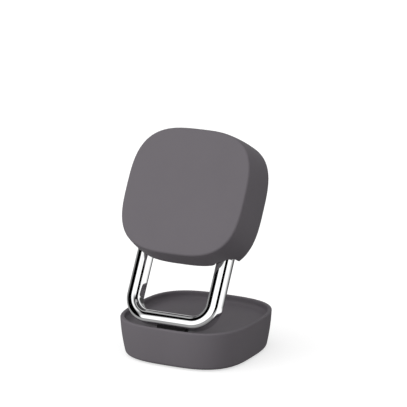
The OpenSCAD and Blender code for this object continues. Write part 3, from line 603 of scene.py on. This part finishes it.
# Hoop
def bar_section(n=40, front=2.4, side=5.0):
    """Closed section of the bar, domed in front and flatter at its sides: (across, from rear to front)."""
    quadrant, turned, steps = [], [], 2000
    for i in range(steps + 1):
        a = math.pi / 2 * i / steps
        x, y = math.cos(a) ** (2 / front), math.sin(a) ** (2 / side)
        nx, ny = x ** (front - 1) * front / BAR_T, y ** (side - 1) * side / BAR_D
        quadrant.append((x * BAR_T / 2, y * BAR_D / 2))
        turned.append(math.atan2(ny, nx) + 0.15 * a)
    # Even steps of the outline's turn, so that the tight corners get their share of points
    wanted = np.linspace(turned[0], turned[-1], n)
    corner = [quadrant[int(k)] for k in np.searchsorted(turned, wanted - 1e-9)]
    pts = corner + [(-x, y) for x, y in reversed(corner[:-1])]
    return pts + [(x, -y) for x, y in reversed(pts[1:-1])]


def hoop_path(step=28):
    """Centre line of the hoop with its outward direction, in the hoop's own frame."""
    x, y, r = ARM_X - HOOP_CORNER_R, HOOP_L / 2 - HOOP_CORNER_R, HOOP_CORNER_R
    pts = []
    for cx, cy, a0 in ((x, y, 0), (-x, y, 90), (-x, -y, 180), (x, -y, 270)):
        for i in range(step + 1):
            a = math.radians(a0 + 90 * i / step)
            pts.append((cx + r * math.cos(a), cy + r * math.sin(a), math.cos(a), math.sin(a)))
    return pts


section, path = bar_section(), hoop_path()
verts, faces = [], []
for px, py, nx, ny in path:
    for across, depth in section:
        verts.append((px + nx * across, HOOP_L / 2 + py + ny * across, HINGE_OFFSET + depth))
k, n = len(section), len(path)
for i in range(n):
    for j in range(k):
        faces.append([i * k + j, (i + 1) % n * k + j, (i + 1) % n * k + (j + 1) % k, i * k + (j + 1) % k])
hoop = make("hoop_bar", verts, faces)
RELIEF_R, RELIEF_HALF_L = KNUCKLE_R + 0.5, KNUCKLE_L / 2 + 0.5 + 2 * PIN_GAP
cut(hoop, lathe("relief", [(RELIEF_R, -RELIEF_HALF_L), (RELIEF_R, RELIEF_HALF_L)], 96, ALONG_X),
    lathe("bore", [(PIN_R, -PIN_HALF_L), (PIN_R, PIN_HALF_L)], 48, ALONG_X))
piece(smooth(put(hoop, HOOP_FRAME), 25), "hoop", "hoop_chrome", "hoop")

# Pad shell
OPEN_S = PAD_T - RIM_R
rims = [pad_rim(PAD_FACE + (OPEN_S - PAD_FACE) * i / 10, PAD_WALL) for i in range(10)]
rims += [pad_rim(-z, PAD_WALL - i) for i, z in quarter(RIM_R, -OPEN_S, RIM_R, 0, -90, 8)]
rims += [pad_rim(-z, i) for i, z in quarter(RIM_R, -OPEN_S, RIM_R, -90, 0, 8)]
rims += [pad_rim(OPEN_S + (PAD_EDGE_R - OPEN_S) * i / 24, 0) for i in range(1, 24)]
rims += [pad_rim(-z, i) for i, z in quarter(PAD_EDGE_R, -PAD_EDGE_R, PAD_EDGE_R, 0, 90, 12)]
pad = loft("pad_shell_skin", rims, FINE)
# Mouth in its bottom wall, which follows the bar's front edge on both sides
NOSE_R, NOSE_X, NOSE_S = BAR_EDGE_R + NOSE_GAP, BAR_T / 2 + NOSE_GAP, BAR_NOSE - NOSE_GAP
right = [(POCKET_X + 0.6, PAD_T + 2), (POCKET_X, FACE_TO_HOOP - GLIDE_D / 2)]
right += arc(ARM_X + NOSE_X - NOSE_R, NOSE_S + NOSE_R, NOSE_R, 0, -90, 16)
right += arc(ARM_X - NOSE_X + NOSE_R, NOSE_S + NOSE_R, NOSE_R, -90, -160, 12)
right += arc(MOUTH_IN_X - 1.5, MOUTH_DEPTH - 0.5, 0.5, 40, 90, 6)
mouth = right + [(-x, y) for x, y in reversed(right)]
MOUTH_FRAME = Matrix(((1, 0, 0, 0), (0, 0, 1, -(INNER_H - 12)), (0, -1, 0, 0), (0, 0, 0, 1)))
cut(pad, prism("mouth_cut", mouth, -40, 0, MOUTH_FRAME))
piece(smooth(put(pad, PAD_FRAME)), "pad", "pad_soft_touch", "pad_front_shell")


# Back cover with the channel that the hoop runs in
def pocket_outline(grow):
    x, r = POCKET_X + grow, POCKET_CORNER_R + grow
    y = POCKET_TOP + grow - r
    return [(x, -PAD_H)] + arc(x - r, y, r, 0, 90, 32) + arc(-(x - r), y, r, 90, 180, 32) + [(-x, -PAD_H)]


def fitted(depth):
    """Outline that fits inside the pad's wall at that depth behind the face."""
    inset = SEAT_GAP + pad_in(depth)
    return soft_outline(INNER_W - inset, INNER_H - inset)


COVER_FRONT = COVER_BACK - COVER_T
cover = prism("pad_back_cover_skin", fitted(COVER_FRONT), -COVER_BACK, -COVER_FRONT, None, 0.2)
tub = prism("tub", pocket_outline(COVER_T), -COVER_BACK + 0.3, -POCKET_FLOOR + COVER_T, None, 0.4)
cut(tub, prism("trim", fitted(POCKET_FLOOR - COVER_T), -PAD_T, 0), mode="INTERSECT")
cut(cover, tub, mode="UNION")
cut(cover, prism("pocket", pocket_outline(0), -COVER_BACK - 1, -POCKET_FLOOR, None, 0.3))
holes(cover, pair(PAD_SCREW_X, PAD_SCREW_Y), -COVER_BACK - 1, -COVER_FRONT + 1, SCREW_HOLE_R)
holes(cover, pair(BLOCK_SCREW_X, BLOCK_SCREW_Y), -POCKET_FLOOR - 1, -POCKET_FLOOR + COVER_T + 1, SCREW_HOLE_R)
piece(smooth(put(cover, PAD_FRAME)), "pad", "cover_plastic", "pad_back_cover")


# Guide block with its brake slot
def block_outline(x, bottom):
    r, y = BLOCK_CORNER_R, BLOCK_TOP - BLOCK_CORNER_R
    return [(x, bottom)] + arc(x - r, y, r, 0, 90, 20) + arc(-(x - r), y, r, 90, 180, 20) + [(-x, bottom)]


BRAKE_HALF_T = 0.9
block = prism("guide_block_skin", block_outline(BLOCK_X, BLOCK_BOTTOM),
              -MOUTH_DEPTH, -POCKET_FLOOR, None, 0.15)
cut(block, prism("trim", fitted(POCKET_FLOOR), -PAD_T, 0), mode="INTERSECT")
pedestal = prism("pedestal", block_outline(BLOCK_X - 1, KEEPER_BOTTOM), -KEEPER_FRONT, -MOUTH_DEPTH + 0.4)
cut(block, pedestal, mode="UNION")
brake_slot = rounded_box(2 * BLOCK_X + 2, 6.0, 0.2, 0, BRAKE_SLOT_Y)
cut(block, prism("slot", brake_slot, -FACE_TO_HOOP - BRAKE_HALF_T, -FACE_TO_HOOP + BRAKE_HALF_T))
holes(block, pair(BLOCK_SCREW_X, BLOCK_SCREW_Y), -MOUTH_DEPTH - 1, 0, SCREW_HOLE_R)
holes(block, pair(KEEPER_SCREW_X, KEEPER_Y), -KEEPER_FRONT - 1, -KEEPER_FRONT + 3.5, SCREW_R)
piece(smooth(put(block, PAD_FRAME)), "pad", "dark_plastic", "guide_block")

# Keeper plate behind the arms
KEEPER_BACK = KEEPER_FRONT + KEEPER_T
keeper = rounded_box(2 * KEEPER_X, BLOCK_TOP - KEEPER_BOTTOM, 3.0, 0, KEEPER_Y, 16)
keeper = prism("keeper_plate_skin", keeper, -KEEPER_BACK, -KEEPER_FRONT, None, 0.3)
holes(keeper, pair(KEEPER_SCREW_X, KEEPER_Y), -KEEPER_BACK - 1, -KEEPER_FRONT + 1, SCREW_HOLE_R)
holes(keeper, pair(KEEPER_SCREW_X, KEEPER_Y), -KEEPER_BACK - 1, -KEEPER_BACK + SCREW_HEAD_H,
      SCREW_HEAD_R + SEAT_GAP)
piece(smooth(put(keeper, PAD_FRAME)), "pad", "cover_plastic", "keeper_plate")

screws("keeper_screw_heads", "pad", "keeper_screws", PAD_FRAME,
       (3.4, pair(KEEPER_SCREW_X, KEEPER_Y, -KEEPER_BACK + SCREW_HEAD_H)))
screws("bracket_screw_heads", "base", "bracket_screws", IDENTITY,
       (BRACKET_T + 2.6, pair(BRACKET_SCREW_X, FLANGE_Y, BRACKET_Z - BRACKET_T)))
screws("pad_screw_heads", "pad", "pad_screws", PAD_FRAME,
       (COVER_T + 4, pair(PAD_SCREW_X, PAD_SCREW_Y, -COVER_BACK)),
       (MOUTH_DEPTH - POCKET_FLOOR + COVER_T + 3, pair(BLOCK_SCREW_X, BLOCK_SCREW_Y, -MOUTH_DEPTH)))

# Camera
scene = bpy.context.scene
cam_data = bpy.data.cameras.new("camera")
cam = bpy.data.objects.new("camera", cam_data)
scene.collection.objects.link(cam)
turn, tilt = math.radians(CAMERA_TURN), math.radians(CAMERA_TILT)
to_right = Vector((math.cos(turn), math.sin(turn), 0))
to_camera = Vector((math.sin(turn) * math.cos(tilt), -math.cos(turn) * math.cos(tilt), math.sin(tilt)))
to_top = to_camera.cross(to_right)
middle = PHOTO_SIZE / 2
cam.location = (Vector((0, 0, AXIS_Z)) + to_camera * CAMERA_FAR
                + to_right * ((middle - AXIS_PX) / CAMERA_SCALE)
                + to_top * ((AXIS_PY - middle) / CAMERA_SCALE))
cam.rotation_mode = "QUATERNION"
cam.rotation_quaternion = Matrix((to_right, to_top, to_camera)).transposed().to_quaternion()
cam_data.sensor_width = 36
cam_data.lens = cam_data.sensor_width * CAMERA_FAR * CAMERA_SCALE / PHOTO_SIZE
cam_data.clip_start, cam_data.clip_end = 0.05, 60
scene.camera = cam

# Floor
floor_me = bpy.data.meshes.new("floor")
side = FLOOR_HALF
floor_me.from_pydata([(-side, -side, 0), (side, -side, 0), (side, side, 0), (-side, side, 0)],
                     [], [(0, 1, 2, 3)])
floor = bpy.data.objects.new("floor", floor_me)
scene.collection.objects.link(floor)
fm, fnt, fp, fco = nodes_of("floor")
tones = [(0.3, (FLOOR_SHADE - FLOOR_VARIES,) * 3), (0.7, (FLOOR_SHADE + FLOOR_VARIES,) * 3)]
fnt.links.new(ramp(fnt, noise(fnt, fco, 3, 2), tones), fp.inputs["Base Color"])
fp.inputs["Roughness"].default_value = 0.9
fp.inputs["Specular IOR Level"].default_value = 0.0
fp.inputs["Emission Color"].default_value = (1, 1, 1, 1)
# The floor glows for the camera only, so its glow doesn't light the piece
glow = fnt.nodes.new("ShaderNodeMath")
glow.operation = "MULTIPLY"
fnt.links.new(fnt.nodes.new("ShaderNodeLightPath").outputs["Is Camera Ray"], glow.inputs[0])
glow.inputs[1].default_value = FLOOR_GLOW
fnt.links.new(glow.outputs[0], fp.inputs["Emission Strength"])
floor_me.materials.append(fm)
# Light from below passes it, as if the floor threw it back
floor.visible_diffuse = False
floor.visible_glossy = False
floor.visible_shadow = False

# Surroundings
world = bpy.data.worlds.new("studio")
scene.world = world
world.use_nodes = True
wt = world.node_tree
wt.nodes.clear()


def wmath(op, a, b=0.0):
    """A sum on the surroundings' nodes, where a and b are numbers or sockets."""
    n = wt.nodes.new("ShaderNodeMath")
    n.operation = op
    for i, v in enumerate((a, b)):
        if isinstance(v, (int, float)):
            n.inputs[i].default_value = v
        else:
            wt.links.new(v, n.inputs[i])
    return n.outputs[0]


def wstep(v, edge, soft):
    """Smooth step up from edge - soft to edge + soft."""
    n = wt.nodes.new("ShaderNodeMapRange")
    n.interpolation_type = "SMOOTHSTEP"
    n.inputs["From Min"].default_value = edge - soft
    n.inputs["From Max"].default_value = edge + soft
    wt.links.new(v, n.inputs["Value"])
    return n.outputs["Result"]


def panel(az0, az1, el0, el1, soft_az, soft_el):
    """Soft-edged rectangle of the surroundings, in degrees round from the front and up."""
    sides = []
    for angle, low, high, soft in ((azimuth, az0, az1, soft_az), (elevation, el0, el1, soft_el)):
        before_end = wmath("SUBTRACT", 1.0, wstep(angle, high, soft))
        sides.append(wmath("MULTIPLY", wstep(angle, low, soft), before_end))
    return wmath("MULTIPLY", *sides)


def over(under, mask, level):
    """That level laid over what is under it, where the mask is 1."""
    keep = wmath("MULTIPLY", under, wmath("SUBTRACT", 1.0, mask))
    return wmath("ADD", keep, wmath("MULTIPLY", mask, level))


direction = wt.nodes.new("ShaderNodeTexCoord").outputs["Generated"]
split = wt.nodes.new("ShaderNodeSeparateXYZ")
wt.links.new(direction, split.inputs[0])
to_front = wmath("MULTIPLY", split.outputs[1], -1.0)
azimuth = wmath("DEGREES", wmath("ARCTAN2", split.outputs[0], to_front))
elevation = wmath("DEGREES", wmath("ARCSINE", split.outputs[2]))

# What the chrome mirrors: one large white panel in front, with dark flags on both sides of it
mirror = 0.0
for *edges, level in MIRROR_PANELS:
    mirror = over(mirror, panel(*edges), level)

# What lights the piece: soft lights laid over each other, brightest on the left and above
ambient = 0.0
for az, el, level in SOFT_LIGHTS:
    az, el = math.radians(az), math.radians(el)
    toward = (math.sin(az) * math.cos(el), -math.cos(az) * math.cos(el), math.sin(el))
    facing = wmath("MULTIPLY", split.outputs[0], toward[0])
    for axis in (1, 2):
        facing = wmath("ADD", facing, wmath("MULTIPLY", split.outputs[axis], toward[axis]))
    lobe = wmath("EXPONENT", wmath("MULTIPLY", wmath("SUBTRACT", facing, 1.0), SOFT_SHARPNESS), 0.0)
    ambient = wmath("ADD", ambient, wmath("MULTIPLY", lobe, level))


def background(level):
    """White surroundings of that level, a number or a socket."""
    n = wt.nodes.new("ShaderNodeBackground")
    n.inputs["Color"].default_value = (1, 1, 1, 1)
    if isinstance(level, (int, float)):
        n.inputs["Strength"].default_value = level
    else:
        wt.links.new(level, n.inputs["Strength"])
    return n.outputs[0]


def choose(fac, a, b):
    """Shader a where fac is 0, and b where it is 1."""
    n = wt.nodes.new("ShaderNodeMixShader")
    wt.links.new(fac, n.inputs[0])
    wt.links.new(a, n.inputs[1])
    wt.links.new(b, n.inputs[2])
    return n.outputs[0]


rays = wt.nodes.new("ShaderNodeLightPath").outputs
sky = choose(rays["Is Glossy Ray"], background(ambient), background(mirror))
sky = choose(rays["Is Camera Ray"], sky, background(1.0))
wt.links.new(sky, wt.nodes.new("ShaderNodeOutputWorld").inputs["Surface"])

scene.view_settings.view_transform = "Standard"
